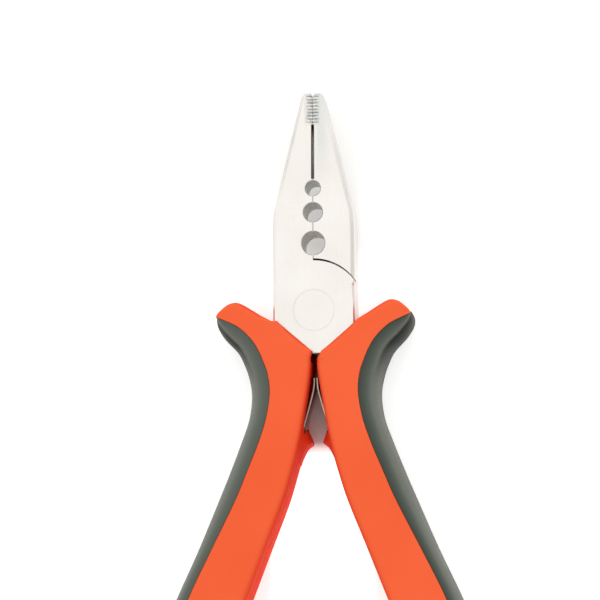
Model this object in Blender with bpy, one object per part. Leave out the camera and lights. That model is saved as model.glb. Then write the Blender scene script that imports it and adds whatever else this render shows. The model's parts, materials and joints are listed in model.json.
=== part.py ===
"""Crimping pliers: two forged steel halves on a rivet, moulded two-colour grips, twin leaf springs.

Units are metres, +Z is up. The tool lies flat on its grips with the jaws pointing along +Y.
The origin is at the centre of the tool's footprint. Shapes are drawn around the pivot axis,
in millimetres, with the closed tool symmetric about X = 0.
"""
import math

import bmesh
import bpy
from mathutils import Matrix, Vector

MM = 0.001

# Driving dimensions, in millimetres
LENGTH = 150.0
PIVOT_TO_TIP = 39.7
PIVOT_TO_BASE = LENGTH - PIVOT_TO_TIP
GRIP_THICKNESS = 12.5
HEAD_THICKNESS = 9.0
TIP_THICKNESS = 5.0
TANG_THICKNESS = 6.0
HEAD_HALF_WIDTH = 7.3
SHOULDER_HALF_WIDTH = 7.15
SHOULDER_Y = 17.6
SHOULDER_RUN = 2.5
TIP_HALF_WIDTH = 2.1
TIP_CORNER = 1.0
LAP_RADIUS = 9.0
HEAD_BOTTOM_Y = -7.8
TANG_TAPER_START, TANG_TAPER_END = -11.0, -28.0
CRIMP_HOLES = ((12.1, 2.1), (17.7, 1.75), (22.1, 1.4))
SLIT_START, SLIT_END, SLIT_DEPTH = 23.8, 33.7, 0.3
TEETH_START, TOOTH_PITCH, TOOTH_DEPTH, TOOTH_COUNT = 34.0, 1.2, 0.4, 4
RIVET_RADIUS, RIVET_HEAD_RADIUS, RIVET_HEAD_DEPTH = 2.6, 3.4, 0.9
RUNNING_CLEARANCE = 0.06  # pivot rivet in its bore, all round
GAP = 0.3  # between pieces that touch in the real tool
JAW_GAP = 0.15  # from each closed jaw to the centre plane
GRIP_CHAMFER = 0.8
PAD_CHAMFER_RISE = 0.12
NUB_TIP, NUB_CHAMFER, NUB_CHAMFER_RISE = (1.0, -23.0), 0.15, 0.25
SPRING_THICKNESS, SPRING_WIDTH = 0.45, 5.0
SPRING_ROOM = 1.4
SMALL_RIVET_RADIUS, SMALL_RIVET_HEAD, SMALL_RIVET_HEAD_DEPTH = 0.9, 1.5, 0.5
SMALL_RIVET_AT = 0.72  # share of the way down the spring
SMALL_RIVET_EDGE, SMALL_RIVET_TAIL, SMALL_RIVET_PLAY = 0.15, 4.4, 0.1
CUTTER_REACH = 60.0

MID_Z = GRIP_THICKNESS / 2
HALF_HEAD = HEAD_THICKNESS / 2
HALF_TANG = TANG_THICKNESS / 2

# Right handle, as (x, y) around the pivot. The left handle mirrors it.
FLARE = [(7.6, -1.95), (9.4, -0.9), (11.2, 0.25), (12.8, 1.2), (14.0, 1.55), (15.3, 1.2), (16.4, 0.35),
         (17.2, -0.5), (17.4, -1.1)]
FINGER_SIDE = [(0.9, -7.45), (0.6, -8.7), (0.55, -10.2), (0.8, -12.3), (1.2, -14.9), (1.75, -18.1),
               (2.15, -20.3), (1.85, -21.2), (1.35, -22.1), (1.0, -22.8), (1.0, -23.2), (1.35, -23.6),
               (1.85, -24.1), (2.4, -25.0), (3.1, -26.6), (4.1, -28.9), (5.8, -34.3), (9.2, -42.9),
               (12.6, -51.6), (16.4, -61.0), (20.2, -71.0), (22.9, -81.0), (24.3, -91.0), (24.6, -100.0)]
HANDLE_END = [(24.7, -103.8), (25.7, -107.8), (27.7, -109.9), (29.6, -110.3), (31.5, -109.9),
              (33.4, -108.2), (34.4, -105.2)]
PALM_SIDE = [(17.6, -1.5), (17.5, -2.7), (16.9, -3.9), (16.0, -5.1), (13.95, -7.3), (12.9, -9.45),
             (12.15, -11.6), (11.6, -14.9), (12.1, -19.2), (13.6, -23.5), (15.7, -28.9), (17.95, -34.3),
             (21.6, -42.9), (25.6, -51.6), (29.3, -61.0), (32.4, -71.0), (34.6, -81.0), (35.5, -91.0),
             (35.4, -98.5), (34.6, -104.6)]
PAD_EDGE = [(17.4, -1.1), (13.7, -2.8), (11.2, -5.1), (9.8, -7.3), (8.9, -9.45), (8.2, -11.6),
            (7.9, -14.9), (8.55, -19.2), (9.9, -23.5), (12.1, -28.9), (14.4, -34.3), (18.7, -42.9),
            (22.9, -51.6), (26.3, -61.0), (29.1, -71.0), (31.0, -81.0), (32.0, -91.0), (32.8, -98.5),
            (34.4, -105.2)]
TANG_INNER = [(1.8, -9.3), (2.0, -12.0), (2.45, -15.0), (3.0, -19.0), (3.55, -22.0), (4.75, -26.0),
              (6.0, -29.5), (8.2, -35.0), (11.6, -43.0), (15.4, -52.0), (19.1, -62.0), (22.6, -72.0),
              (25.0, -82.0), (26.4, -92.0), (26.8, -98.0)]
TANG_OUTER = [(30.2, -98.0), (29.9, -92.0), (28.8, -82.0), (26.6, -72.0), (23.4, -62.0), (19.6, -52.0),
              (15.8, -43.0), (12.2, -35.0), (10.2, -29.5), (8.9, -26.0), (7.6, -22.0), (6.9, -19.0),
              (6.5, -15.0), (6.8, -12.0), (7.3, -9.6)]
SPRING_LINE = [(0.4, -12.9), (0.6, -14.8), (1.05, -16.5), (1.6, -18.4), (2.3, -20.8), (3.05, -23.6),
               (3.95, -26.0), (5.2, -29.2)]


def clear_scene():
    for obj in list(bpy.data.objects):
        bpy.data.objects.remove(obj, do_unlink=True)


def smooth(points, steps):
    """A Catmull-Rom curve through the points, each span cut into equal steps."""
    ends = [points[0]] + list(points) + [points[-1]]
    curve = []
    for before, start, end, after in zip(ends, ends[1:], ends[2:], ends[3:]):
        for step in range(steps):
            t = step / steps
            curve.append(tuple(
                0.5 * (2 * b + (c - a) * t + (2 * a - 5 * b + 4 * c - d) * t * t
                       + (3 * b - a - 3 * c + d) * t ** 3)
                for a, b, c, d in zip(before, start, end, after)))
    curve.append(tuple(points[-1]))
    return curve


def arc(centre, radius, start, end, steps):
    """Points on a circle from one angle to another, in degrees, both ends included."""
    turn = [math.radians(start + (end - start) * i / steps) for i in range(steps + 1)]
    return [(centre[0] + radius * math.cos(a), centre[1] + radius * math.sin(a)) for a in turn]


def offset(curve, distance):
    """The curve shifted to its left by a distance, along the mean normal of its two spans."""
    shifted = []
    for i, point in enumerate(curve):
        before = Vector(curve[max(i - 1, 0)])
        after = Vector(curve[min(i + 1, len(curve) - 1)])
        along = (after - before).normalized()
        shifted.append((point[0] - along.y * distance, point[1] + along.x * distance))
    return shifted


def material(name, colour, roughness, metallic):
    mat = bpy.data.materials.new(name)
    mat.use_nodes = True
    shader = mat.node_tree.nodes["Principled BSDF"]
    shader.inputs["Base Color"].default_value = (*colour, 1.0)
    shader.inputs["Roughness"].default_value = roughness
    shader.inputs["Metallic"].default_value = metallic
    return mat


def add_object(name, bm, parent=None, mat=None):
    """Turn a mesh drawn in millimetres into an object in metres, with its faces outward."""
    if bm.calc_volume(signed=True) < 0:
        bmesh.ops.reverse_faces(bm, faces=bm.faces)
    bmesh.ops.scale(bm, vec=(MM, MM, MM), verts=bm.verts)
    mesh = bpy.data.meshes.new(name)
    bm.to_mesh(mesh)
    bm.free()
    obj = bpy.data.objects.new(name, mesh)
    bpy.context.scene.collection.objects.link(obj)
    obj.parent = parent
    if mat:
        mesh.materials.append(mat)
        mesh.shade_smooth()
        mesh.set_sharp_from_angle(angle=math.radians(30))
    return obj


def stack(rings):
    """A closed solid through rings of equal point count, with flat caps on the first and last."""
    bm = bmesh.new()
    layers = [[bm.verts.new(point) for point in ring] for ring in rings]
    for lower, upper in zip(layers, layers[1:]):
        for i in range(len(lower)):
            j = (i + 1) % len(lower)
            bm.faces.new((lower[i], lower[j], upper[j], upper[i]))
    bm.faces.new(list(reversed(layers[0])))
    bm.faces.new(layers[-1])
    return bm


def prism(outline, low, high):
    return stack([[(x, y, low) for x, y in outline], [(x, y, high) for x, y in outline]])


def turned(profile, segments):
    """A solid of revolution about Z from (radius, z) points that start and end on the axis."""
    bm = bmesh.new()
    rings = []
    for radius, z in profile[1:-1]:
        ring = []
        for i in range(segments):
            angle = 2 * math.pi * i / segments
            ring.append(bm.verts.new((radius * math.cos(angle), radius * math.sin(angle), z)))
        rings.append(ring)
    for lower, upper in zip(rings, rings[1:]):
        for i in range(segments):
            j = (i + 1) % segments
            bm.faces.new((lower[i], lower[j], upper[j], upper[i]))
    bm.faces.new(list(reversed(rings[0])))
    bm.faces.new(rings[-1])
    return bm


def mirrored(outline, side):
    return outline if side > 0 else [(-x, y) for x, y in reversed(outline)]


def make_cutter(name, bm, parent):
    cutter = add_object(name, bm, parent)
    cutter.display_type = "WIRE"
    cutter.hide_render = True
    return cutter


def cut(obj, cutter):
    modifier = obj.modifiers.new("cut_" + cutter.name, "BOOLEAN")
    modifier.operation = "DIFFERENCE"
    modifier.solver = "EXACT"
    modifier.object = cutter


def jaw_seam():
    """The inner edge of the left jaw from the lap joint to the tip: crimp holes, slit and teeth."""
    seam = [(-JAW_GAP, LAP_RADIUS)]
    for centre_y, radius in CRIMP_HOLES:
        lean = math.degrees(math.asin(JAW_GAP / radius))
        seam += arc((0.0, centre_y), radius, 270 - lean, 90 + lean, 14)
    slit_steps = 8
    for i in range(slit_steps + 1):
        share = i / slit_steps
        depth = SLIT_DEPTH * math.sin(math.pi * share)
        seam.append((-JAW_GAP - depth, SLIT_START + (SLIT_END - SLIT_START) * share))
    for i in range(TOOTH_COUNT):
        root = TEETH_START + TOOTH_PITCH * i
        seam.append((-JAW_GAP, root))
        seam.append((-JAW_GAP - TOOTH_DEPTH, root + TOOTH_PITCH / 2))
    seam.append((-JAW_GAP, TEETH_START + TOOTH_PITCH * TOOTH_COUNT))
    return seam


def half_outline():
    """Left jaw, cheek and right tang seen from above, anticlockwise."""
    tip_corner = (-TIP_HALF_WIDTH + TIP_CORNER, PIVOT_TO_TIP - TIP_CORNER)
    side_angle = math.degrees(math.acos(HEAD_HALF_WIDTH / LAP_RADIUS))
    bottom_angle = math.degrees(math.asin(-HEAD_BOTTOM_Y / LAP_RADIUS))
    outline = jaw_seam()
    outline.append((-JAW_GAP, PIVOT_TO_TIP))
    outline += arc(tip_corner, TIP_CORNER, 90, 170, 5)
    outline += [(-SHOULDER_HALF_WIDTH, SHOULDER_Y), (-HEAD_HALF_WIDTH, SHOULDER_Y - SHOULDER_RUN)]
    outline += arc((0.0, 0.0), LAP_RADIUS, 180 + side_angle, 180 + bottom_angle, 6)
    outline.append((TANG_INNER[0][0], HEAD_BOTTOM_Y))
    outline += smooth(TANG_INNER, 2)
    outline += smooth(TANG_OUTER, 2)
    outline += arc((0.0, 0.0), LAP_RADIUS, side_angle, 88, 14)
    return outline


def thickness_cutters(parent):
    """Slabs above and below that taper the jaws to the tip and the tangs into the handles."""
    spare = 4.0
    slope = (HALF_HEAD - TIP_THICKNESS / 2) / (PIVOT_TO_TIP - SHOULDER_Y)
    tip_end, base_end, clear = PIVOT_TO_TIP + spare, -PIVOT_TO_BASE - spare, HALF_HEAD + spare
    profile = [(tip_end, TIP_THICKNESS / 2 - slope * spare), (SHOULDER_Y, HALF_HEAD),
               (TANG_TAPER_START, HALF_HEAD), (TANG_TAPER_END, HALF_TANG), (base_end, HALF_TANG),
               (base_end, clear), (tip_end, clear)]
    cutters = []
    for name, sign in (("thickness_top", 1), ("thickness_bottom", -1)):
        rings = [[(x, y, MID_Z + sign * z) for y, z in profile] for x in (-CUTTER_REACH, CUTTER_REACH)]
        cutters.append(make_cutter(name, stack(rings), parent))
    return cutters


def rivet_profile(clearance):
    radius = RIVET_RADIUS + clearance
    head = RIVET_HEAD_RADIUS + clearance
    low = MID_Z - HALF_HEAD - clearance
    high = MID_Z + HALF_HEAD + clearance
    return [(0.0, low), (head, low), (radius, low + RIVET_HEAD_DEPTH), (radius, high - RIVET_HEAD_DEPTH),
            (head, high), (0.0, high)]


def rivet_frame(side):
    """Where the small rivet crosses spring and tang: the point on the spring, and its axis."""
    line = smooth(SPRING_LINE, 6)
    index = int(SMALL_RIVET_AT * (len(line) - 1))
    here = Vector(line[index])
    along = (Vector(line[index + 1]) - Vector(line[index - 1])).normalized()
    outward = Vector((-along.y, along.x))
    centre = Vector((side * here.x, here.y, MID_Z))
    axis = Vector((side * outward.x, outward.y, 0.0))
    return centre, axis


def along_rivet(bm, side):
    centre, axis = rivet_frame(side)
    turn = Vector((0, 0, 1)).rotation_difference(axis).to_matrix().to_4x4()
    bmesh.ops.transform(bm, matrix=Matrix.Translation(centre) @ turn, verts=bm.verts)
    return bm


def small_rivet(name, side, parent, mat):
    back = -SPRING_THICKNESS / 2 - SMALL_RIVET_PLAY
    front = back - SMALL_RIVET_HEAD_DEPTH
    bm = turned([(0.0, front), (SMALL_RIVET_HEAD * 0.7, front),
                 (SMALL_RIVET_HEAD, back - SMALL_RIVET_EDGE), (SMALL_RIVET_HEAD, back),
                 (SMALL_RIVET_RADIUS, back), (SMALL_RIVET_RADIUS, SMALL_RIVET_TAIL),
                 (0.0, SMALL_RIVET_TAIL)], 24)
    return add_object(name, along_rivet(bm, side), parent, mat)


def rivet_hole(name, side, parent, radius, start, end):
    bm = turned([(0.0, start), (radius, start), (radius, end), (0.0, end)], 24)
    return make_cutter(name, along_rivet(bm, side), parent)


def steel_half(name, parent, mat, slabs, back):
    """One forged half: jaw, cheek and tang. The back one is the front one turned over."""
    bm = prism(half_outline(), MID_Z - HALF_HEAD, MID_Z + HALF_HEAD)
    lap = LAP_RADIUS + GAP
    clearing = turned([(0.0, -2.0), (lap, -2.0), (lap, MID_Z + JAW_GAP), (0.0, MID_Z + JAW_GAP)], 96)
    bore = turned(rivet_profile(RUNNING_CLEARANCE), 48)
    if back:
        turn = Matrix.Translation((0, 0, MID_Z)) @ Matrix.Rotation(math.pi, 4, "Y")
        turn = turn @ Matrix.Translation((0, 0, -MID_Z))
        bmesh.ops.transform(bm, matrix=turn, verts=bm.verts)
        bmesh.ops.transform(clearing, matrix=turn, verts=clearing.verts)
    half = add_object(name, bm, parent, mat)
    cut(half, make_cutter(name + "_lap", clearing, parent))
    cut(half, make_cutter(name + "_bore", bore, parent))
    for slab in slabs:
        cut(half, slab)
    return half


def leaf_spring(name, side, parent, mat):
    line = smooth(SPRING_LINE, 6)
    half = SPRING_THICKNESS / 2
    outline = offset(line, half) + list(reversed(offset(line, -half)))
    bm = prism(mirrored(outline, side), MID_Z - SPRING_WIDTH / 2, MID_Z + SPRING_WIDTH / 2)
    spring = add_object(name, bm, parent, mat)
    radius = SMALL_RIVET_RADIUS + SMALL_RIVET_PLAY
    cut(spring, rivet_hole(name + "_hole", side, parent, radius, -1.0, 1.0))
    return spring


def chamfered(outline, amounts):
    """An extruded outline whose top and bottom rims are chamfered by an amount at each point."""
    count = len(outline)
    inset = []
    for i, (x, y) in enumerate(outline):
        before = Vector(outline[i - 1])
        after = Vector(outline[(i + 1) % count])
        along = (after - before).normalized()
        inset.append((x - along.y * amounts[i], y + along.x * amounts[i]))
    levels = [(inset, 0.0), (outline, GRIP_CHAMFER), (outline, GRIP_THICKNESS - GRIP_CHAMFER),
              (inset, GRIP_THICKNESS)]
    return stack([[(x, y, z) for x, y in ring] for ring, z in levels])


def grip(name, side, parent, mat):
    """The red moulded handle, hollow for the lap joint, the tang, the spring and its rivet."""
    finger = smooth(FINGER_SIDE + HANDLE_END, 3)
    edge = list(reversed(smooth(PAD_EDGE, 3)))[1:-1]
    flare = list(reversed(smooth(FLARE, 2)))
    amounts = [min(GRIP_CHAMFER, NUB_CHAMFER + NUB_CHAMFER_RISE * math.dist(point, NUB_TIP))
               for point in finger]
    amounts[-1] = 0.0
    amounts += [0.0] * (len(edge) + 1) + [GRIP_CHAMFER] * (len(flare) - 1)
    bm = chamfered(finger + edge + flare, amounts)
    if side < 0:
        bmesh.ops.transform(bm, matrix=Matrix.Scale(-1, 4, (1, 0, 0)), verts=bm.verts)
    handle = add_object(name, bm, parent, mat)

    open_top, past_middle = 8.0, -2.0  # both outside the moulding
    wall_x = HEAD_HALF_WIDTH + GAP
    floor_y = -LAP_RADIUS - GAP
    room = [(past_middle, floor_y), (wall_x, floor_y), (wall_x, open_top), (past_middle, open_top)]
    room_height = HALF_HEAD + GAP
    head_room = prism(mirrored(room, side), MID_Z - room_height, MID_Z + room_height)
    cut(handle, make_cutter(name + "_head_room", head_room, parent))

    mouth_y = HEAD_BOTTOM_Y
    inner = offset(smooth(TANG_INNER, 2), -GAP)
    outer = offset(smooth(TANG_OUTER, 2), -GAP)
    deep_y = TANG_INNER[-1][1] - GAP
    inner = [(inner[0][0], mouth_y)] + inner + [(inner[-1][0], deep_y)]
    outer = [(outer[0][0], deep_y)] + outer + [(outer[-1][0], mouth_y)]
    pocket = prism(mirrored(inner + outer, side), MID_Z - room_height, MID_Z + room_height)
    tang_room = make_cutter(name + "_tang_room", pocket, parent)
    high_y, low_y = mouth_y + 2.0, deep_y - 2.0
    profile = [(high_y, room_height), (TANG_TAPER_START, room_height), (TANG_TAPER_END, HALF_TANG + GAP),
               (low_y, HALF_TANG + GAP), (low_y, MID_Z), (high_y, MID_Z)]
    for label, sign in (("_roof", 1), ("_floor", -1)):
        rings = [[(x, y, MID_Z + sign * z) for y, z in profile] for x in (-CUTTER_REACH, CUTTER_REACH)]
        cut(tang_room, make_cutter(name + label, stack(rings), parent))
    cut(handle, tang_room)

    line = smooth(SPRING_LINE, 6)
    half = SPRING_THICKNESS / 2 + GAP
    run = (Vector(line[-1]) - Vector(line[-2])).normalized() * GAP
    slot_line = line + [(line[-1][0] + run.x, line[-1][1] + run.y)]
    slot = offset(slot_line, SPRING_ROOM) + list(reversed(offset(slot_line, -half)))
    half_slot = SPRING_WIDTH / 2 + GAP
    slot_room = prism(mirrored(slot, side), MID_Z - half_slot, MID_Z + half_slot)
    cut(handle, make_cutter(name + "_spring_slot", slot_room, parent))
    head_reach = -SPRING_THICKNESS / 2 - SMALL_RIVET_HEAD_DEPTH - 2 * GAP
    cut(handle, rivet_hole(name + "_rivet_room", side, parent, SMALL_RIVET_HEAD + GAP, head_reach, 1.0))
    return handle


def pad(name, side, parent, mat):
    """The soft grey strip along the palm side of a grip."""
    palm = smooth(PALM_SIDE, 3)
    palm.reverse()
    seat = offset(smooth(PAD_EDGE, 3), GAP)[2:-2]
    amounts = []
    for point in palm:
        from_end = min(math.dist(point, palm[0]), math.dist(point, palm[-1]))
        amounts.append(min(GRIP_CHAMFER, PAD_CHAMFER_RISE * from_end))
    bm = chamfered(palm + seat, amounts + [0.0] * len(seat))
    if side < 0:
        bmesh.ops.transform(bm, matrix=Matrix.Scale(-1, 4, (1, 0, 0)), verts=bm.verts)
    return add_object(name, bm, parent, mat)


def make_pivot(name):
    empty = bpy.data.objects.new(name, None)
    empty.location = (0.0, (LENGTH / 2 - PIVOT_TO_TIP) * MM, 0.0)
    bpy.context.scene.collection.objects.link(empty)
    return empty


def main():
    clear_scene()
    steel = material("steel", (0.78, 0.77, 0.74), 0.28, 1.0)
    spring_steel = material("spring_steel", (0.55, 0.52, 0.48), 0.3, 1.0)
    red = material("red_plastic", (0.86, 0.12, 0.03), 0.35, 0.0)
    grey = material("grey_rubber", (0.13, 0.15, 0.13), 0.7, 0.0)

    right_half = make_pivot("right_half_pivot")
    left_half = make_pivot("left_half_pivot")
    slabs = thickness_cutters(right_half)
    front = steel_half("front_half", right_half, steel, slabs, back=False)
    rear = steel_half("back_half", left_half, steel, slabs, back=True)
    add_object("pivot_rivet", turned(rivet_profile(0.0), 48), right_half, steel)

    for word, side, frame, half in (("right", 1, right_half, front), ("left", -1, left_half, rear)):
        leaf_spring(word + "_leaf_spring", side, frame, spring_steel)
        small_rivet(word + "_spring_rivet", side, frame, spring_steel)
        cut(half, rivet_hole(word + "_tang_hole", side, frame, SMALL_RIVET_RADIUS + 0.1, -0.5, 8.0))
        grip(word + "_grip", side, frame, red)
        pad(word + "_pad", side, frame, grey)


main()
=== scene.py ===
"""Crimping pliers: the finished surfaces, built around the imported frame.

Shapes are drawn in millimetres around the pivot's centre: +X to the right handle, +Y to the tip
of the jaws, +Z up. Materials measure in metres, from the same centre, with the tool closed.
"""
import json
import math

import bmesh
import bpy
from mathutils import Matrix, Vector

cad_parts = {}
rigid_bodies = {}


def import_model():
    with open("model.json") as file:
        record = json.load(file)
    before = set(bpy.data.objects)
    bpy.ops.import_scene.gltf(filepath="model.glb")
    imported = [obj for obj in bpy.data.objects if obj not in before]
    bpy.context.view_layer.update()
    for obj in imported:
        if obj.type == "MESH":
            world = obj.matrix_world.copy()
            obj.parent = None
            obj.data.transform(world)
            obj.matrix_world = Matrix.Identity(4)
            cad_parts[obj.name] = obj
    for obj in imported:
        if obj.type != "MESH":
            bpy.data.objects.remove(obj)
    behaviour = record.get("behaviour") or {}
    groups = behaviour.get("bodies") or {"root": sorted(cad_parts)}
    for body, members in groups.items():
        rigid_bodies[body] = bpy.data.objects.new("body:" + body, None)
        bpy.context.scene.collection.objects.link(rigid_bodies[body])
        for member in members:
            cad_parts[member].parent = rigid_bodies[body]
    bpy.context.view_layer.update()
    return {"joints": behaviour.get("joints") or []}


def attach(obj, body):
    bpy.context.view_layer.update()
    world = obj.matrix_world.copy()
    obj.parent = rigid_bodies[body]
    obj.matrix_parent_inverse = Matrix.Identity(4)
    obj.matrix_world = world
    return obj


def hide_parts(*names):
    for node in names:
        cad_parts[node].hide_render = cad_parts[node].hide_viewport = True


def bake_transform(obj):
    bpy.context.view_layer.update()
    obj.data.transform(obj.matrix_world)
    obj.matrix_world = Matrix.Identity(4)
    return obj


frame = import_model()

MM = 0.001
PIVOT = Vector(frame["joints"][0]["pos_m"])
ROOT, CHILD = frame["joints"][0]["parent"], frame["joints"][0]["child"]

# Half thicknesses, measured from the mid-plane
GRIP_HALF = 6.25
HEAD_HALF = 4.5
TIP_HALF = 2.5
TANG_HALF = 3.0

# Steel
HEAD_HALF_WIDTH = 7.3
SHOULDER, SHOULDER_RUN = (7.15, 17.6), 2.5  # the jaws narrow past it, and a little in the run before
TIP_HALF_WIDTH = 2.1
TIP_Y = 39.7
TIP_CORNER = 1.0
LAP_RADIUS = 9.0
HEAD_BOTTOM_Y = -7.8
CHEEK_SIDE_BOTTOM_Y = -8.8
TANG_TAPER_START, TANG_TAPER_END = -11.0, -28.0
CRIMP_HOLES = ((12.1, 2.1), (17.7, 1.75), (22.1, 1.4))
SLIT_START, SLIT_END, SLIT_DEPTH = 23.75, 33.9, 0.22
TOOTH_START, TOOTH_PITCH, TOOTH_COUNT = 34.25, 0.6, 9
TOOTH_REACH, TOOTH_OVERLAP, TOOTH_DEPTH, TOOTH_HALF_WIDTH = 1.4, 0.6, 0.45, 0.29
SEAM = 0.02  # half the hairline between the closed jaws
LAP_PLAY, LAP_SHIFT, LAP_CUT_TOP = 0.2, 0.14, 0.03  # the room round a half's cheek, in its partner
LAP_CUT_BOTTOM = -7.0
LAP_SEGMENTS, RIVET_SEGMENTS = 192, 96
OUTER_CHAMFER, CHEEK_CHAMFER, TANG_CHAMFER = 0.6, 0.25, 0.3
HOLE_CHAMFER, FINE_EDGE = 0.12, 0.05
RIVET_RADIUS, RIVET_SHANK, RIVET_PLAY = 3.7, 2.6, 0.005
RIVET_CHAMFER, RIVET_RIM, RIVET_HEAD_DEPTH = 0.04, 0.03, 1.0

# Springs and their rivets
SPRING_THICKNESS, SPRING_WIDTH, SPRING_EDGE = 0.45, 5.0, 0.12
DOME_RADIUS, DOME_BASE, DOME_HEIGHT = 1.5, -0.26, 0.5
SMALL_SHANK, SMALL_TAIL = 0.9, 4.4

# Handles
GRIP_ROUND, CORNER_ROUND, SEAT_ROUND = 1.15, 0.4, 0.12
GRIP_STATIONS, NOTCH_SPACING = 420, 0.5
ROOM_GAP, ROOM_INNER_X, ROOM_TOP_Y, TANG_ROOM_TOP_Y = 0.3, -2.0, 8.0, -8.0
RIVET_ROOM, SPRING_ROOM_LEAN = 1.4, 0.15  # the spring's room, behind it and at its deep end
PAD_POWER = 2.7  # of the superellipse that a pad's section follows
PAD_STATIONS, PAD_STEPS = 170, 12
PAD_GAP = 0.05

# Angles that make a crease, in degrees
STEEL_SHARP, LEAF_SHARP, RIVET_SHARP, GRIP_SHARP, PAD_SHARP = 20, 40, 35, 35, 50

# Right handle, as (x, y). The left handle mirrors it, but its V edge is its own.
V_EDGE = {1: ((1.4, -7.45), (8.0, -1.8)), -1: ((0.3, -7.45), (6.2, -2.3), (6.5, -1.95), (7.6, -1.9))}
FLARE = [(9.4, -0.9), (11.2, 0.25), (12.8, 1.2), (14.0, 1.55), (15.3, 1.2), (16.4, 0.35),
         (17.2, -0.5), (17.4, -1.1)]
FINGER_SIDE = [(0.6, -8.7), (0.55, -10.2), (0.8, -12.3), (1.2, -14.9), (1.75, -18.1), (2.3, -21.3),
               (2.75, -23.5), (3.2, -25.6), (4.1, -28.9), (5.8, -34.3), (9.2, -42.9),
               (12.6, -51.6), (16.4, -61.0), (20.2, -71.0), (22.9, -81.0), (24.3, -91.0), (24.6, -100.0)]
HANDLE_END = [(24.7, -103.8), (25.7, -107.8), (27.7, -109.9), (29.6, -110.3), (31.5, -109.9),
              (33.4, -108.2), (34.4, -105.2)]
PALM_SIDE = [(17.4, -0.5), (17.7, -1.4), (17.55, -2.7), (16.9, -3.9), (16.0, -5.1), (13.95, -7.3),
             (12.9, -9.45), (12.15, -11.6), (11.6, -14.9), (12.1, -19.2), (13.6, -23.5), (15.7, -28.9),
             (17.95, -34.3), (21.6, -42.9), (25.6, -51.6), (29.3, -61.0), (32.4, -71.0), (34.6, -81.0),
             (35.5, -91.0), (35.4, -98.5), (34.6, -104.6)]
PAD_EDGE = [(17.4, -1.1), (13.7, -2.8), (11.2, -5.1), (9.8, -7.3), (8.9, -9.45), (8.2, -11.6),
            (7.9, -14.9), (8.55, -19.2), (9.9, -23.5), (12.1, -28.9), (14.4, -34.3), (18.7, -42.9),
            (22.9, -51.6), (26.3, -61.0), (29.1, -71.0), (31.0, -81.0), (32.0, -91.0), (32.8, -98.5),
            (34.4, -105.2)]
TANG_INNER = [(1.8, -9.3), (2.0, -12.0), (2.45, -15.0), (3.0, -19.0), (3.55, -22.0), (4.75, -26.0),
              (6.0, -29.5), (8.2, -35.0), (11.6, -43.0), (15.4, -52.0), (19.1, -62.0), (22.6, -72.0),
              (25.0, -82.0), (26.4, -92.0), (26.8, -98.0)]
TANG_OUTER = [(30.2, -98.0), (29.9, -92.0), (28.8, -82.0), (26.6, -72.0), (23.4, -62.0), (19.6, -52.0),
              (15.8, -43.0), (12.2, -35.0), (10.2, -29.5), (8.9, -26.0), (7.6, -22.0), (6.9, -19.0),
              (6.5, -15.0), (6.8, -12.0), (7.3, -9.6)]
NUB_SIDE = [(2.2, -20.3), (1.85, -21.2), (1.35, -22.1), (1.05, -22.8), (1.0, -23.2), (1.3, -23.5),
            (1.75, -23.85), (2.15, -24.35), (2.55, -25.1), (3.05, -26.2), (3.4, -27.2)]
SPRING_LINE = [(0.26, -12.0), (0.35, -13.6), (0.6, -14.8), (1.05, -16.5), (1.6, -18.4), (2.3, -20.8),
               (3.05, -23.6), (3.95, -26.0), (5.2, -29.2)]
SPRING_RIVET_AT = 0.76  # share of the way along the spring


# ---------------------------------------------------------------- curves

def smooth(points, steps=8):
    """A Catmull-Rom curve through the points, each span cut into equal steps."""
    ends = [points[0]] + list(points) + [points[-1]]
    curve = []
    for before, start, end, after in zip(ends, ends[1:], ends[2:], ends[3:]):
        for step in range(steps):
            t = step / steps
            curve.append(tuple(
                0.5 * (2 * b + (c - a) * t + (2 * a - 5 * b + 4 * c - d) * t * t
                       + (3 * b - a - 3 * c + d) * t ** 3)
                for a, b, c, d in zip(before, start, end, after)))
    curve.append(tuple(points[-1]))
    return curve


def resample(curve, count):
    """The same curve with evenly spaced points."""
    lengths = [0.0]
    for a, b in zip(curve, curve[1:]):
        lengths.append(lengths[-1] + math.dist(a, b))
    points = []
    span = 0
    for i in range(count):
        target = lengths[-1] * i / (count - 1)
        while span < len(curve) - 2 and lengths[span + 1] < target:
            span += 1
        share = (target - lengths[span]) / max(lengths[span + 1] - lengths[span], 1e-9)
        share = min(max(share, 0.0), 1.0)
        a, b = curve[span], curve[span + 1]
        points.append((a[0] + (b[0] - a[0]) * share, a[1] + (b[1] - a[1]) * share))
    return points


def arc(centre, radius, start, end, steps):
    """Points on a circle from one angle to another, in degrees, both ends included."""
    turn = [math.radians(start + (end - start) * i / steps) for i in range(steps + 1)]
    return [(centre[0] + radius * math.cos(a), centre[1] + radius * math.sin(a)) for a in turn]


def line(start, end, steps):
    """Evenly spaced points between two ends, the ends left out."""
    return [(start[0] + (end[0] - start[0]) * i / steps, start[1] + (end[1] - start[1]) * i / steps)
            for i in range(1, steps)]


def offset(curve, distance):
    """The curve shifted to its left by a distance, along the mean normal of its two spans."""
    shifted = []
    for i, point in enumerate(curve):
        before = Vector(curve[max(i - 1, 0)])
        after = Vector(curve[min(i + 1, len(curve) - 1)])
        along = (after - before).normalized()
        shifted.append((point[0] - along.y * distance, point[1] + along.x * distance))
    return shifted


# ---------------------------------------------------------------- solids

def stack(rings):
    """A closed solid through rings of equal point count, with caps on the first and last."""
    bm = bmesh.new()
    layers = [[bm.verts.new(point) for point in ring] for ring in rings]
    for lower, upper in zip(layers, layers[1:]):
        for i in range(len(lower)):
            j = (i + 1) % len(lower)
            bm.faces.new((lower[i], lower[j], upper[j], upper[i]))
    bm.faces.new(list(reversed(layers[0])))
    bm.faces.new(layers[-1])
    bm.normal_update()
    return bm


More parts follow.
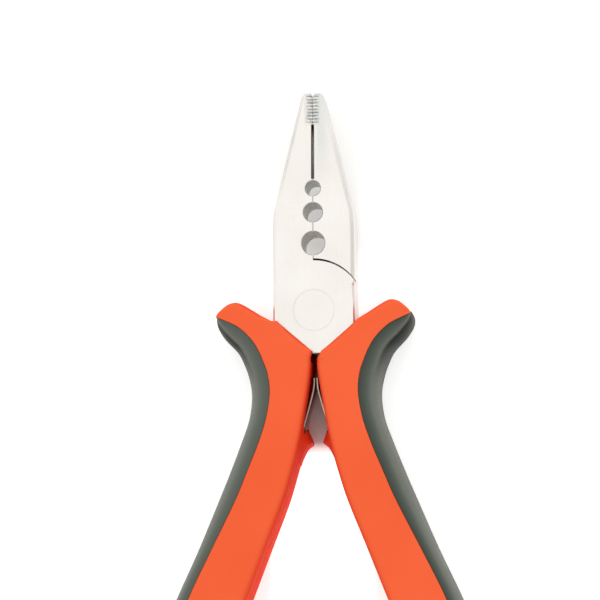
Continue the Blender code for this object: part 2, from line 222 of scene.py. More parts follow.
def prism(outline, low, high):
    """An outline extruded from one height to another."""
    return stack([[(x, y, low) for x, y in outline], [(x, y, high) for x, y in outline]])


def inward_normals(outline):
    """For an anticlockwise outline, the unit direction into it at each point."""
    normals = []
    for i in range(len(outline)):
        after = Vector(outline[(i + 1) % len(outline)])
        along = (after - Vector(outline[i - 1])).normalized()
        normals.append((-along.y, along.x))
    return normals


def edged_prism(outline, radii, half, rim, belt=(), bulges=()):
    """An outline extruded up and down, its rims shaped by (inward, drop) shares of each radius.

    belt shapes the wall between the rims: (outward, share, z) moves each point outward at a
    height, and adds a share of the point's own bulge.
    """
    normals = inward_normals(outline)

    def ring(inward, drop, sign):
        return [(x + n[0] * r * inward, y + n[1] * r * inward, sign * (half - r * drop))
                for (x, y), n, r in zip(outline, normals, radii)]

    def belt_ring(outward, share, z):
        moves = [outward + share * bulge for bulge in bulges]
        return [(x - n[0] * m, y - n[1] * m, z) for (x, y), n, m in zip(outline, normals, moves)]

    rings = [ring(inward, drop, -1) for inward, drop in rim]
    rings += [belt_ring(outward, share, z) for outward, share, z in belt]
    rings += [ring(inward, drop, 1) for inward, drop in reversed(rim)]
    return stack(rings)


def round_rim(steps):
    """A quarter round from a flat margin on the cap down to the wall."""
    turns = [math.radians(90 - 90 * i / steps) for i in range(steps + 1)]
    return [(1.15, 0.0)] + [(1 - math.cos(a), 1 - math.sin(a)) for a in turns]


def turned(profile, segments):
    """A solid of revolution about Z from (radius, z) points, bottom to top."""
    rings = []
    for radius, z in profile:
        angles = [2 * math.pi * i / segments for i in range(segments)]
        rings.append([(radius * math.cos(a), radius * math.sin(a), z) for a in angles])
    return stack(rings)


def mirror_x(bm):
    """Make a right-hand solid into its left-hand partner."""
    bmesh.ops.transform(bm, matrix=Matrix.Scale(-1, 4, (1, 0, 0)), verts=bm.verts)
    return bm


def turn_over(bm):
    """Turn a solid over about the tool's long axis, so that its front becomes its back."""
    bmesh.ops.transform(bm, matrix=Matrix.Rotation(math.pi, 4, "Y"), verts=bm.verts)
    return bm


def to_object(name, bm, sharp_angle):
    """Turn a solid in millimetres around the pivot into an object in metres, faces outward."""
    if bm.calc_volume(signed=True) < 0:
        bmesh.ops.reverse_faces(bm, faces=bm.faces)
    bmesh.ops.transform(bm, matrix=Matrix.Translation(PIVOT) @ Matrix.Scale(MM, 4), verts=bm.verts)
    mesh = bpy.data.meshes.new(name)
    bm.to_mesh(mesh)
    bm.free()
    obj = bpy.data.objects.new(name, mesh)
    bpy.context.scene.collection.objects.link(obj)
    shade(obj, sharp_angle)
    return obj


def shade(obj, sharp_angle):
    """Smooth shading, with a crease at every edge that is sharper than the angle in degrees."""
    obj.data.shade_smooth()
    obj.data.set_sharp_from_angle(angle=math.radians(sharp_angle))


def carve(obj, cutters, sharp_angle):
    """Cut the solids in cutters out of an object, for good."""
    tools = [to_object("cutter", bm, sharp_angle) for bm in cutters]
    for tool in tools:
        modifier = obj.modifiers.new("cut", "BOOLEAN")
        modifier.operation = "DIFFERENCE"
        modifier.solver = "EXACT"
        modifier.object = tool
    graph = bpy.context.evaluated_depsgraph_get()
    carved = bpy.data.meshes.new_from_object(obj.evaluated_get(graph))
    obj.modifiers.clear()
    old = obj.data
    obj.data = carved
    bpy.data.meshes.remove(old)
    for tool in tools:
        bpy.data.objects.remove(tool, do_unlink=True)
    shade(obj, sharp_angle)


def place(obj, body, node, mat):
    """Give a piece its material and its body, and hide the node that it stands for."""
    obj.data.materials.clear()
    obj.data.materials.append(mat)
    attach(obj, body)
    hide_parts(node)


# ---------------------------------------------------------------- materials

RANGE_SOCKETS = ("From Min", "From Max", "To Min", "To Max")


class Shader:
    """A Principled material with short ways to add texture nodes."""

    def __init__(self, name):
        self.mat = bpy.data.materials.new(name)
        self.mat.use_nodes = True
        self.nodes = self.mat.node_tree.nodes
        self.links = self.mat.node_tree.links
        self.bsdf = self.nodes["Principled BSDF"]
        self.place = self.nodes.new("ShaderNodeTexCoord").outputs["Object"]

    def set(self, **values):
        """Give the shader's own sockets fixed values."""
        for name, value in values.items():
            self.bsdf.inputs[name.replace("_", " ")].default_value = value

    def noise(self, scale, detail=4.0, roughness=0.5, stretch=(1, 1, 1), turn=(0, 0, 0)):
        """Noise through the object's space, which is stretched and turned first."""
        mapping = self.nodes.new("ShaderNodeMapping")
        mapping.inputs["Scale"].default_value = stretch
        mapping.inputs["Rotation"].default_value = turn
        self.links.new(self.place, mapping.inputs["Vector"])
        noise = self.nodes.new("ShaderNodeTexNoise")
        noise.inputs["Scale"].default_value = scale
        noise.inputs["Detail"].default_value = detail
        noise.inputs["Roughness"].default_value = roughness
        self.links.new(mapping.outputs["Vector"], noise.inputs["Vector"])
        return noise.outputs["Fac"]

    def cells(self, scale):
        """The distance from the middles of small cells."""
        voronoi = self.nodes.new("ShaderNodeTexVoronoi")
        voronoi.inputs["Scale"].default_value = scale
        self.links.new(self.place, voronoi.inputs["Vector"])
        return voronoi.outputs["Distance"]

    def remap(self, value, *limits):
        """A value carried from one range, low and high, to another, and kept inside it."""
        node = self.nodes.new("ShaderNodeMapRange")
        for name, limit in zip(RANGE_SOCKETS, limits):
            node.inputs[name].default_value = limit
        self.links.new(value, node.inputs["Value"])
        return node.outputs["Result"]

    def ramp(self, value, *stops):
        """Colours that follow a value, from (position, colour) stops."""
        node = self.nodes.new("ShaderNodeValToRGB")
        while len(node.color_ramp.elements) < len(stops):
            node.color_ramp.elements.new(0.5)
        for element, (position, colour) in zip(node.color_ramp.elements, stops):
            element.position = position
            element.color = (*colour, 1.0)
        self.links.new(value, node.inputs["Fac"])
        return node.outputs["Color"]

    def math(self, operation, *values):
        """One sum of outputs and fixed numbers."""
        node = self.nodes.new("ShaderNodeMath")
        node.operation = operation
        for socket, value in zip(node.inputs, values):
            if isinstance(value, float):
                socket.default_value = value
            else:
                self.links.new(value, socket)
        return node.outputs[0]

    def axes(self):
        """Places across, along and above the pivot's centre, in metres, with the tool closed."""
        node = self.nodes.new("ShaderNodeSeparateXYZ")
        self.links.new(self.place, node.inputs["Vector"])
        return [self.math("SUBTRACT", node.outputs[i], PIVOT[i]) for i in range(3)]

    def mix(self, share, colour, other):
        """The colour, going over to another, fixed one as the share goes to 1."""
        node = self.nodes.new("ShaderNodeMix")
        node.data_type = "RGBA"
        self.links.new(share, node.inputs["Factor"])
        self.links.new(colour, node.inputs[6])
        node.inputs[7].default_value = (*other, 1.0)
        return node.outputs[2]

    def bump(self, height, strength, distance, over=None):
        """A surface raised by a height, on top of another bump if there is one."""
        node = self.nodes.new("ShaderNodeBump")
        node.inputs["Strength"].default_value = strength
        node.inputs["Distance"].default_value = distance
        self.links.new(height, node.inputs["Height"])
        if over:
            self.links.new(over, node.inputs["Normal"])
        return node.outputs["Normal"]

    def feed(self, **outputs):
        """Link outputs to the shader's own sockets."""
        for name, output in outputs.items():
            self.links.new(output, self.bsdf.inputs[name.replace("_", " ")])


def steel_material():
    """Ground and polished forged steel: fine lines along the jaws and a faint cloudiness."""
    s = Shader("polished_steel")
    s.set(Metallic=1.0)
    lines = s.noise(900.0, 3.0, 0.6, stretch=(1.0, 0.035, 1.0))
    clouds = s.noise(90.0, 4.0, 0.55)
    x, y, z = s.axes()
    from_seam = s.math("ABSOLUTE", x)
    clean = s.ramp(clouds, (0.35, (0.76, 0.74, 0.71)), (0.65, (0.80, 0.785, 0.76)))

    # The teeth are worn and scratched
    near_teeth = s.remap(from_seam, 0.001, 0.0016, 0.8, 0.0)
    wear = s.math("MULTIPLY", near_teeth, s.remap(s.noise(1600.0, 4.0, 0.7), 0.35, 0.6, 0.0, 1.0))
    teeth_from = (TOOTH_START - 0.75) * MM
    teeth = s.math("MULTIPLY", wear, s.remap(y, teeth_from, teeth_from + 0.001, 0.0, 1.0))
    worn = s.mix(teeth, clean, (0.42, 0.43, 0.44))

    # Painted shade on the right jaw, beside the seam and towards the tip
    rises = s.remap(x, 0.0002, 0.001, 0.0, 1.0)
    falls = s.remap(x, 0.0018, 0.0034, 0.5, 0.0)
    right_jaw_painted_shade = s.math("MULTIPLY", s.math("MULTIPLY", rises, falls), s.remap(y, 0.023, 0.031, 0.0, 1.0))
    right_jaw_shaded = s.mix(right_jaw_painted_shade, worn, (0.56, 0.60, 0.60))

    # Painted shade: everything below the faces is a little darker, and the walls of the crimp holes much
    # darker
    hole_reach = CRIMP_HOLES[0][1] * MM
    holes_end = (CRIMP_HOLES[-1][0] + CRIMP_HOLES[-1][1]) * MM
    beside_holes = s.remap(from_seam, hole_reach, hole_reach + 0.0004, 1.0, 0.0)
    before_end = s.remap(y, holes_end + 0.0003, holes_end + 0.0015, 1.0, 0.0)
    hole_shade_weight = s.remap(s.math("MULTIPLY", beside_holes, before_end), 0.0, 1.0, 0.12, 1.0)
    face = s.remap(y, SHOULDER[1] * MM, TIP_Y * MM, (HEAD_HALF - 0.2) * MM, (TIP_HALF - 0.2) * MM)
    below_face = s.math("SUBTRACT", s.math("ABSOLUTE", z), face)
    # side is the painted shade on the walls below the faces
    side = s.math("MULTIPLY", s.remap(below_face, -0.0004, -0.0001, 0.8, 0.0), hole_shade_weight)
    walls_shaded = s.mix(side, right_jaw_shaded, (0.17, 0.16, 0.09))

    # The rivet's edge is a faint ring, and the slit is darkened with painted shade
    from_axis = s.math("SQRT", s.math("ADD", s.math("MULTIPLY", x, x), s.math("MULTIPLY", y, y)))
    from_ring = s.math("ABSOLUTE", s.math("SUBTRACT", from_axis, RIVET_RADIUS * MM))
    ringed = s.mix(s.remap(from_ring, 0.00005, 0.00022, 0.09, 0.0), walls_shaded, (0.42, 0.33, 0.26))
    slit_reach = (SEAM + SLIT_DEPTH) * MM
    near_slit = s.remap(from_seam, slit_reach + 0.00002, slit_reach + 0.00008, 1.0, 0.0)
    slit_starts = s.remap(y, (SLIT_START - 0.05) * MM, (SLIT_START + 0.15) * MM, 0.0, 1.0)
    slit_ends = s.remap(y, (SLIT_END - 0.1) * MM, (SLIT_END + 0.1) * MM, 1.0, 0.0)
    slit = s.math("MULTIPLY", near_slit, s.math("MULTIPLY", slit_starts, slit_ends))
    s.feed(Base_Color=s.mix(slit, ringed, (0.09, 0.05, 0.04)))

    s.feed(Roughness=s.remap(lines, 0.3, 0.7, 0.2, 0.34))
    s.feed(Normal=s.bump(lines, 0.12, 0.00003, s.bump(clouds, 0.1, 0.0001)))
    return s.mat


def spring_material():
    """Rolled spring steel, darker, with lines along the strip."""
    s = Shader("spring_steel")
    s.set(Metallic=1.0)
    lines = s.noise(1500.0, 3.0, 0.6, stretch=(1.0, 0.05, 1.0))
    stains = s.noise(250.0, 4.0, 0.6)
    s.feed(Base_Color=s.ramp(stains, (0.35, (0.34, 0.28, 0.24)), (0.65, (0.46, 0.40, 0.36))))
    s.feed(Roughness=s.remap(lines, 0.3, 0.7, 0.24, 0.42))
    s.feed(Normal=s.bump(lines, 0.15, 0.00003))
    return s.mat


def red_material():
    """Orange-red moulded plastic: a satin face with fine grain and soft scuffs, walls painted a deeper
    red as shade.
    """
    s = Shader("red_plastic")
    s.set(Specular_IOR_Level=0.12)
    shade_noise = s.noise(45.0, 3.0, 0.5)
    grain = s.noise(4200.0, 2.0, 0.5)
    scuffs = s.noise(260.0, 5.0, 0.65, stretch=(1.0, 0.22, 1.0), turn=(0.0, 0.0, 0.5))
    face = s.ramp(shade_noise, (0.3, (0.85, 0.108, 0.031)), (0.7, (0.90, 0.126, 0.041)))
    # Painted shade: the walls below the face are a deeper red, and they are also rougher
    height = s.math("ABSOLUTE", s.axes()[2])
    wall = s.remap(height, (GRIP_HALF - 0.85) * MM, (GRIP_HALF - 0.1) * MM, 1.0, 0.0)
    s.feed(Base_Color=s.mix(wall, face, (0.74, 0.045, 0.010)))
    satin = s.remap(scuffs, 0.35, 0.7, 0.45, 0.62)
    s.feed(Roughness=s.math("ADD", satin, s.math("MULTIPLY", wall, 0.3)))
    s.feed(Normal=s.bump(grain, 0.18, 0.00005, s.bump(scuffs, 0.05, 0.0001)))
    return s.mat


def grey_material():
    """Matt soft-touch rubber with a pebbled grain.

    It has painted light and shade across it: darker beside the red moulding and on the palm's side,
    lighter between.
    The left pad is painted a little lighter, as if lit from the left, and the outer part of both is
    painted almost black at the flare, as shade.
    """
    s = Shader("grey_rubber")
    s.set(Specular_IOR_Level=0.15, Sheen_Weight=0.08, Sheen_Roughness=0.4)
    pebbles = s.cells(2600.0)
    grain = s.noise(3000.0, 3.0, 0.6)
    rubbed = s.noise(120.0, 4.0, 0.6)
    across = s.nodes.new("ShaderNodeAttribute")
    across.attribute_name = "across"
    place_across = s.math("ADD", across.outputs["Fac"], s.remap(rubbed, 0.3, 0.7, -0.012, 0.012))
    # Painted light and shade across the pad: dark beside the moulding, light in the middle, darker again
    # at the palm's side
    painted_light_band = s.ramp(place_across, (0.0, (0.044, 0.057, 0.047)), (0.09, (0.082, 0.100, 0.083)),
                  (0.17, (0.140, 0.152, 0.130)), (0.34, (0.15, 0.16, 0.135)), (0.5, (0.085, 0.093, 0.08)))
    x, y = s.axes()[:2]
    # Painted light: the left pad is a little lighter, as if lit from the left
    left_painted_light = s.mix(s.remap(x, -0.002, 0.002, 0.24, 0.0), painted_light_band, (0.21, 0.225, 0.2))
    # Painted shade: at the flare, the outer part of each pad is almost black
    at_flare = s.remap(y, -0.013, -0.006, 0.0, 1.0)
    flare_rim_painted_shade = s.math("MULTIPLY", s.remap(place_across, 0.17, 0.23, 0.0, 1.0), at_flare)
    s.feed(Base_Color=s.mix(flare_rim_painted_shade, left_painted_light, (0.010, 0.012, 0.010)))
    s.feed(Roughness=s.remap(rubbed, 0.3, 0.7, 0.52, 0.68))
    s.feed(Normal=s.bump(pebbles, 0.3, 0.00012, s.bump(grain, 0.25, 0.00008)))
    return s.mat


# ---------------------------------------------------------------- steel

def jaw_seam():
    """The inner edge of the left jaw from the lap joint to the tip, with a chamfer at each point."""
    points = [((-SEAM, LAP_RADIUS), FINE_EDGE)]
    for centre_y, radius in CRIMP_HOLES:
        lean = math.degrees(math.asin(SEAM / radius))
        bite = arc((0.0, centre_y), radius, 270 - lean, 90 + lean, 32)
        points += [(p, HOLE_CHAMFER) for p in bite]
    slit_steps, bluntness = 20, 0.4
    for i in range(slit_steps + 1):
        share = i / slit_steps
        depth = SLIT_DEPTH * math.sin(math.pi * share) ** bluntness
        points.append(((-SEAM - depth, SLIT_START + (SLIT_END - SLIT_START) * share), FINE_EDGE))
    notch_width, notch_length = 0.3, 0.6
    points.append(((-SEAM, TIP_Y - notch_length), FINE_EDGE))
    points.append(((-SEAM - notch_width, TIP_Y), FINE_EDGE))
    return points


def outer_chamfer(y):
    """The chamfer of the outer edges: wide on the jaws, narrow beside the handles."""
    grows_from, grows_over = 1.0, 5.0
    share = min(max((y - grows_from) / grows_over, 0.0), 1.0)
    return CHEEK_CHAMFER + (OUTER_CHAMFER - CHEEK_CHAMFER) * share


def half_outline():
    """Left jaw, front cheek and right tang, anticlockwise, with a chamfer at each point."""
    corner = (-TIP_HALF_WIDTH + TIP_CORNER, TIP_Y - TIP_CORNER)
    side_angle = math.degrees(math.acos(HEAD_HALF_WIDTH / LAP_RADIUS))
    bottom_angle = math.degrees(math.asin(-HEAD_BOTTOM_Y / LAP_RADIUS))
    points = jaw_seam()
    tip_steps, tip_chamfer, chamfer_growth = 10, 0.25, 0.3
    tip = arc(corner, TIP_CORNER, 90, 170, tip_steps)
    points += [(p, tip_chamfer + chamfer_growth * i / tip_steps) for i, p in enumerate(tip)]
    shoulder = (-SHOULDER[0], SHOULDER[1])
    straight = (-HEAD_HALF_WIDTH, SHOULDER[1] - SHOULDER_RUN)
    points += [(p, OUTER_CHAMFER) for p in line(tip[-1], shoulder, 8) + [shoulder, straight]]
    lower_left = arc((0.0, 0.0), LAP_RADIUS, 180 + side_angle, 180 + bottom_angle, 10)
    points += [(p, outer_chamfer(p[1])) for p in line(straight, lower_left[0], 16)]
    points += [(p, TANG_CHAMFER) for p in lower_left]
    points.append(((TANG_INNER[0][0], HEAD_BOTTOM_Y), 0.1))
    points += [(p, TANG_CHAMFER) for p in smooth(TANG_INNER, 4) + smooth(TANG_OUTER, 4)]
    upper_right = arc((0.0, 0.0), LAP_RADIUS, side_angle, 89.5, 28)
    cheek_bottom = (HEAD_HALF_WIDTH, CHEEK_SIDE_BOTTOM_Y)
    points += [(p, outer_chamfer(p[1])) for p in line(cheek_bottom, upper_right[0], 16)]
    points += [(p, FINE_EDGE) for p in upper_right]
    return points


def half_height(y):
    """Half the steel's thickness along the tool: full at the joint, thin at the tip and tang."""
    if y > SHOULDER[1]:
        share = (y - SHOULDER[1]) / (TIP_Y - SHOULDER[1])
        return HEAD_HALF + (TIP_HALF - HEAD_HALF) * share
    if y < TANG_TAPER_START:
        share = min((TANG_TAPER_START - y) / (TANG_TAPER_START - TANG_TAPER_END), 1.0)
        return HEAD_HALF + (TANG_HALF - HEAD_HALF) * share
    return HEAD_HALF


def tooth_grooves(sign):
    """V grooves across the inner edges of both jaws, deepest at the seam, on one face."""
    bm = bmesh.new()
    above, start_above = 0.2, 0.04  # the cutter's back and its shallow end, above the face
    wide = TOOTH_HALF_WIDTH
    for i in range(TOOTH_COUNT):
        y = TOOTH_START + TOOTH_PITCH * i
        top = half_height(y)
        section = []
        for x, depth in ((-TOOTH_REACH, -start_above), (TOOTH_OVERLAP, TOOTH_DEPTH)):
            section.append([(x, y - wide, sign * (top + above)), (x, y + wide, sign * (top + above)),
                            (x, y, sign * (top - depth))])
        near, far = [[bm.verts.new(point) for point in ring] for ring in section]
        for a in range(3):
            b = (a + 1) % 3
            bm.faces.new((near[a], near[b], far[b], far[a]))
        bm.faces.new(reversed(near))
        bm.faces.new(far)
    bmesh.ops.recalc_face_normals(bm, faces=bm.faces)
    return bm


def rivet_profile(spare):
    """A shank between two flush countersunk heads, wider by spare, with the rims' heights kept."""
    face = HEAD_HALF + spare
    rim, neck = HEAD_HALF - RIVET_RIM, HEAD_HALF - RIVET_HEAD_DEPTH
    shank = RIVET_SHANK + spare
    head = RIVET_RADIUS + spare
    edge = head - RIVET_CHAMFER
    return [(edge, -face), (head, -rim), (shank, -neck), (shank, neck), (head, rim), (edge, face)]


def steel_half(name, back, mat):
    """One forged half. The back one is the front one turned over."""
    points = half_outline()
    outline = [p for p, chamfer in points]
    chamfers = [chamfer for p, chamfer in points]
    chamfered_rim = [(1.0, 0.0), (0.0, 1.0)]
    bm = edged_prism(outline, chamfers, HEAD_HALF, chamfered_rim)
    bmesh.ops.triangulate(bm, faces=[f for f in bm.faces if len(f.verts) > 4])
    for y in (SHOULDER[1], TANG_TAPER_START, TANG_TAPER_END):
        every = list(bm.verts) + list(bm.edges) + list(bm.faces)
        bmesh.ops.bisect_plane(bm, geom=every, dist=1e-5, plane_co=(0, y, 0), plane_no=(0, 1, 0))
    for vert in bm.verts:
        vert.co.z *= half_height(vert.co.y) / HEAD_HALF
    reach = LAP_RADIUS + LAP_PLAY
    lap = turned([(reach, LAP_CUT_BOTTOM), (reach, LAP_CUT_TOP)], LAP_SEGMENTS)
    bmesh.ops.translate(lap, vec=(LAP_SHIFT, LAP_SHIFT, 0.0), verts=lap.verts)
    if back:
        turn_over(bm)
        turn_over(lap)
    half = to_object(name, bm, STEEL_SHARP)
    teeth = [tooth_grooves(1), tooth_grooves(-1)]
    if back:
        teeth = [turn_over(side) for side in teeth]
    rivet_room = turned(rivet_profile(RIVET_PLAY), RIVET_SEGMENTS)
    carve(half, [lap, rivet_room] + teeth, STEEL_SHARP)
    place(half, CHILD if back else ROOT, "back_half" if back else "front_half", mat)


def pivot_rivet(mat):
    """The rivet through both cheeks, its heads ground flush."""
    bm = turned(rivet_profile(-RIVET_PLAY), RIVET_SEGMENTS)
    rivet = to_object("rivet_flush", bm, STEEL_SHARP)
    place(rivet, ROOT, "pivot_rivet", mat)


# ---------------------------------------------------------------- springs

def leaf_spring(word, side, mat):
    """A bent strip with rounded edges, fixed in its handle, its tip pushing on its partner's."""
    path = smooth(SPRING_LINE)
    half = SPRING_THICKNESS / 2 - SPRING_EDGE
    wide = SPRING_WIDTH / 2 - SPRING_EDGE
    section = []
    for corner, (a, b) in enumerate(((1, 1), (-1, 1), (-1, -1), (1, -1))):
        section += arc((a * half, b * wide), SPRING_EDGE, 90 * corner, 90 * corner + 90, 3)
    rings = []
    for i, (x, y) in enumerate(path):
        along = Vector(path[min(i + 1, len(path) - 1)]) - Vector(path[max(i - 1, 0)])
        along.normalize()
        rings.append([(x - along.y * u, y + along.x * u, z) for u, z in section])
    bm = stack(rings)
    if side < 0:
        mirror_x(bm)
    spring = to_object(word + "_spring_leaf", bm, LEAF_SHARP)
    spring.data.materials.append(mat)
    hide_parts(word + "_leaf_spring")
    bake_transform(spring)


def spring_rivet(word, side, mat):
    """A small domed rivet through the strip and the tang."""
    path = smooth(SPRING_LINE)
    index = int(SPRING_RIVET_AT * (len(path) - 1))
    along = (Vector(path[index + 1]) - Vector(path[index - 1])).normalized()
    axis = Vector((-along.y, along.x, 0.0))
    crown_to_rim = (1.45, 1.2, 0.9, 0.6, 0.3, 0.0)
    dome = [(DOME_RADIUS * math.cos(a), DOME_BASE - DOME_HEIGHT * math.sin(a)) for a in crown_to_rim]
    edge_height, edge_width = 0.1, 0.08
    shank = [(SMALL_SHANK, DOME_BASE + 0.01), (SMALL_SHANK, SMALL_TAIL - edge_height),
             (SMALL_SHANK - edge_width, SMALL_TAIL)]
    bm = turned(dome + shank, 48)
    turn = Vector((0, 0, 1)).rotation_difference(axis).to_matrix().to_4x4()
    bmesh.ops.transform(bm, matrix=Matrix.Translation((*path[index], 0.0)) @ turn, verts=bm.verts)
    if side < 0:
        mirror_x(bm)
    rivet = to_object(word + "_rivet_small", bm, RIVET_SHARP)
    place(rivet, ROOT if side > 0 else CHILD, word + "_spring_rivet", mat)


# ---------------------------------------------------------------- handles

def nub(x, y):
    """How far the stop nub stands out from a point of the finger side."""
    for (x_above, y_above), (x_below, y_below) in zip(NUB_SIDE, NUB_SIDE[1:]):
        if y_above >= y > y_below:
            share = (y_above - y) / (y_above - y_below)
            return max(x - x_above - (x_below - x_above) * share, 0.0)
    return 0.0


def grip_outline(side):
    """The red moulding's outline, anticlockwise, with the rounding of its rim at each point."""
    finger = resample(smooth(FINGER_SIDE + HANDLE_END), GRIP_STATIONS)
    edge = list(reversed(smooth(PAD_EDGE)))
    flare = list(reversed(smooth(FLARE)))
    corners = [FLARE[0]] + list(reversed(V_EDGE[side])) + [FINGER_SIDE[0]]
    notch = []
    for start, end in zip(corners, corners[1:]):
        notch += [start] + line(start, end, max(2, round(math.dist(start, end) / NOTCH_SPACING)))
    outline = finger[:-1] + edge[:-1] + flare[:-1] + notch
    seat_from, seat_to = len(finger), len(finger) + len(edge) - 2
    radii = []
    # The rounding is smaller at the V edge's corners, and almost none where the seat ends
    for i, point in enumerate(outline):
        blunt = min(math.dist(point, corner) for corner in V_EDGE[side])
        sharp = min(math.dist(point, corner) for corner in (FLARE[-1], HANDLE_END[-1]))
        pointed = 0.02 + 0.22 * sharp
        radius = min(GRIP_ROUND, CORNER_ROUND + 0.35 * blunt, pointed)
        if seat_from <= i <= seat_to:
            radius = min(SEAT_ROUND, pointed)
        radii.append(radius)
    bulges = [nub(x, y) if i < len(finger) else 0.0 for i, (x, y) in enumerate(outline)]
    return outline, radii, bulges


def grip_rooms(side):
    """What a grip is hollow for: the lap joint, the tang, the spring and its rivet."""
    wall_x = HEAD_HALF_WIDTH + ROOM_GAP
    floor_y = -LAP_RADIUS - ROOM_GAP
    high = HEAD_HALF + ROOM_GAP
    head_room = prism([(ROOM_INNER_X, floor_y), (wall_x, floor_y), (wall_x, ROOM_TOP_Y),
                       (ROOM_INNER_X, ROOM_TOP_Y)], -high, high)
    inner = offset(smooth(TANG_INNER, 3), -ROOM_GAP)
    outer = offset(smooth(TANG_OUTER, 3), -ROOM_GAP)
    deep_y = TANG_INNER[-1][1] - ROOM_GAP
    inner = [(inner[0][0], TANG_ROOM_TOP_Y)] + inner + [(inner[-1][0], deep_y)]
    outer = [(outer[0][0], deep_y)] + outer + [(outer[-1][0], TANG_ROOM_TOP_Y)]
    tang_room = prism(inner + outer, -TANG_HALF - ROOM_GAP, TANG_HALF + ROOM_GAP)
    path = smooth(SPRING_LINE)
    path.append((path[-1][0] + SPRING_ROOM_LEAN, path[-1][1] - ROOM_GAP))
    half = SPRING_THICKNESS / 2 + ROOM_GAP
    slot = offset(path, RIVET_ROOM) + list(reversed(offset(path, -half)))
    wide = SPRING_WIDTH / 2 + ROOM_GAP
    rooms = [head_room, tang_room, prism(slot, -wide, wide)]
    if side < 0:
        rooms = [mirror_x(room) for room in rooms]
    return rooms


def grip(word, side, mat):
    """The red moulding, hollow below its V edge, with a stop nub on its finger side."""
    outline, radii, bulges = grip_outline(side)
    belt = [(0.0, 0.0, -5.0), (0.0, 1.0, -4.4), (0.0, 1.0, -0.3), (0.04, 1.0, -0.12), (0.04, 1.0, 0.12),
            (0.0, 1.0, 0.3), (0.0, 0.9, 1.2), (0.0, 0.55, 2.2), (0.0, 0.2, 3.2), (0.0, 0.0, 4.2)]
    bm = edged_prism(outline, radii, GRIP_HALF, round_rim(7), belt, bulges)
    if side < 0:
        mirror_x(bm)
    handle = to_object(word + "_handle_moulding", bm, GRIP_SHARP)
    carve(handle, grip_rooms(side), GRIP_SHARP)
    place(handle, ROOT if side > 0 else CHILD, word + "_grip", mat)


def pad(word, side, mat):
    """The soft strip on the palm side: a D section that thins out at both ends."""
    seat = resample(offset(smooth(PAD_EDGE), PAD_GAP), PAD_STATIONS)
    palm = resample(smooth(PALM_SIDE), PAD_STATIONS)
    quarter = []
    for k in range(PAD_STEPS + 1):
        a = math.radians(90 * k / PAD_STEPS)
        quarter.append((math.sin(a) ** (2 / PAD_POWER), math.cos(a) ** (2 / PAD_POWER)))
    rings = []
    for (sx, sy), (px, py) in zip(seat, palm):
        top = [(sx + (px - sx) * s, sy + (py - sy) * s, GRIP_HALF * h) for s, h in quarter]
        bottom = [(x, y, -z) for x, y, z in reversed(top[:-1])]
        rings.append(top + bottom)
    bm = stack(rings)
    across = bm.verts.layers.float.new("across")  # 0 beside the moulding, 0.5 at the palm
    last = len(rings[0]) - 1
    for i, vert in enumerate(bm.verts):
        from_top = i % len(rings[0])
        vert[across] = min(from_top, last - from_top) / last
    if side < 0:
        mirror_x(bm)
    strip = to_object(word + "_pad_soft", bm, PAD_SHARP)
    place(strip, ROOT if side > 0 else CHILD, word + "_pad", mat)


# ---------------------------------------------------------------- stage

def floor():
    """A plain pale sheet that glows as painted light, which washes out the shadows round the tool, except
    under the springs, where its glow drops away as painted shade.
    """
    reach = 3.0
    mesh = bpy.data.meshes.new("floor_sheet")
    corners = [(-reach, -reach, 0), (reach, -reach, 0), (reach, reach, 0), (-reach, reach, 0)]
    mesh.from_pydata(corners, [], [(0, 1, 2, 3)])
    sheet = bpy.data.objects.new("floor_sheet", mesh)
    sheet.location.z = -0.1 * MM  # clear of the faces that rest on it
    bpy.context.scene.collection.objects.link(sheet)
    s = Shader("floor_white")
    s.set(Roughness=0.9, Emission_Color=(1.0, 1.0, 1.0, 1.0))
    x, y = s.axes()[:2]
    # Painted light and shade: down a strip under the tool the glow changes along it, with none between
    # the handles under the springs and less under the jaws; beside the strip it glows most near the tool
    along = s.remap(y, -0.05, 0.05, 0.0, 1.0)
    painted_light_down_middle = s.ramp(along, (0.25, (0.9, 0.9, 0.9)), (0.272, (0.0, 0.0, 0.0)), (0.46, (0.0, 0.0, 0.0)),
                    (0.51, (0.6, 0.59, 0.58)), (0.58, (0.6, 0.59, 0.58)), (0.63, (0.3, 0.29, 0.26)))
    across = s.math("ABSOLUTE", x)
    around = s.remap(across, 0.04, 0.25, 0.5, 0.12)
    outside = s.remap(across, 0.007, 0.01, 0.0, 1.0)
    painted_floor_glow = s.nodes.new("ShaderNodeMix")
    s.links.new(outside, painted_floor_glow.inputs["Factor"])
    s.links.new(painted_light_down_middle, painted_floor_glow.inputs[2])
    s.links.new(around, painted_floor_glow.inputs[3])
    s.feed(Emission_Strength=painted_floor_glow.outputs[0])
    mesh.materials.append(s.mat)


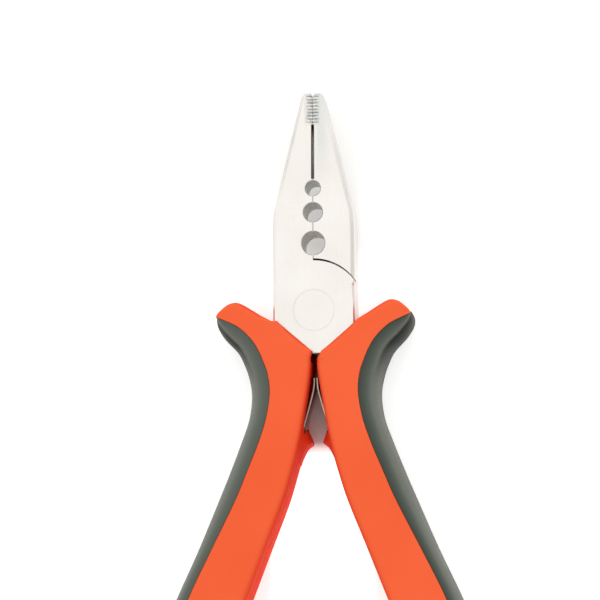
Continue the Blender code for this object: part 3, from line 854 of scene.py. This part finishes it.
def lighting():
    """A soft dome of light, strongest above and past the tip, weakest below."""
    scene = bpy.context.scene
    world = bpy.data.worlds.new("studio")
    scene.world = world
    world.use_nodes = True
    nodes, links = world.node_tree.nodes, world.node_tree.links
    background = nodes["Background"]
    direction = nodes.new("ShaderNodeTexCoord").outputs["Generated"]
    facing = nodes.new("ShaderNodeVectorMath")
    facing.operation = "DOT_PRODUCT"
    facing.inputs[1].default_value = (0.0, 0.5, 0.85)
    links.new(direction, facing.inputs[0])
    glow = nodes.new("ShaderNodeMapRange")
    for name, limit in zip(RANGE_SOCKETS, (-0.5, 0.6, 0.1, 1.2)):
        glow.inputs[name].default_value = limit
    links.new(facing.outputs["Value"], glow.inputs["Value"])
    background.inputs["Color"].default_value = (1.0, 0.985, 0.96, 1.0)
    links.new(glow.outputs["Result"], background.inputs["Strength"])
    scene.view_settings.view_transform = "Standard"


def camera():
    """Looking down on the tool, a little from the right and from the handles' side."""
    scene = bpy.context.scene
    lean_right, lean_back = math.tan(math.radians(6.0)), math.tan(math.radians(7.0))
    distance, field = 0.6, 0.107  # field is the width of the view at the aim
    roll = math.radians(0.6)
    picture_centre = Vector((-2.27, 1.65, GRIP_HALF))
    aim = PIVOT + picture_centre * MM
    away = Vector((lean_right, -lean_back, 1.0)).normalized()
    data = bpy.data.cameras.new("camera")
    data.sensor_width = 36.0
    data.lens = data.sensor_width * distance / field
    data.clip_start = 0.01
    obj = bpy.data.objects.new("camera", data)
    up = Vector((math.sin(roll), math.cos(roll), 0.0))
    right = up.cross(away).normalized()
    up = away.cross(right)
    turn = Matrix((right, up, away)).transposed().to_4x4()
    obj.matrix_world = Matrix.Translation(aim + away * distance) @ turn
    scene.collection.objects.link(obj)
    scene.camera = obj


def main():
    steel = steel_material()
    spring_steel = spring_material()
    red = red_material()
    grey = grey_material()
    steel_half("front_half_forging", False, steel)
    steel_half("back_half_forging", True, steel)
    pivot_rivet(steel)
    for word, side in (("right", 1), ("left", -1)):
        leaf_spring(word, side, spring_steel)
        spring_rivet(word, side, spring_steel)
        grip(word, side, red)
        pad(word, side, grey)
    floor()
    lighting()
    camera()


main()
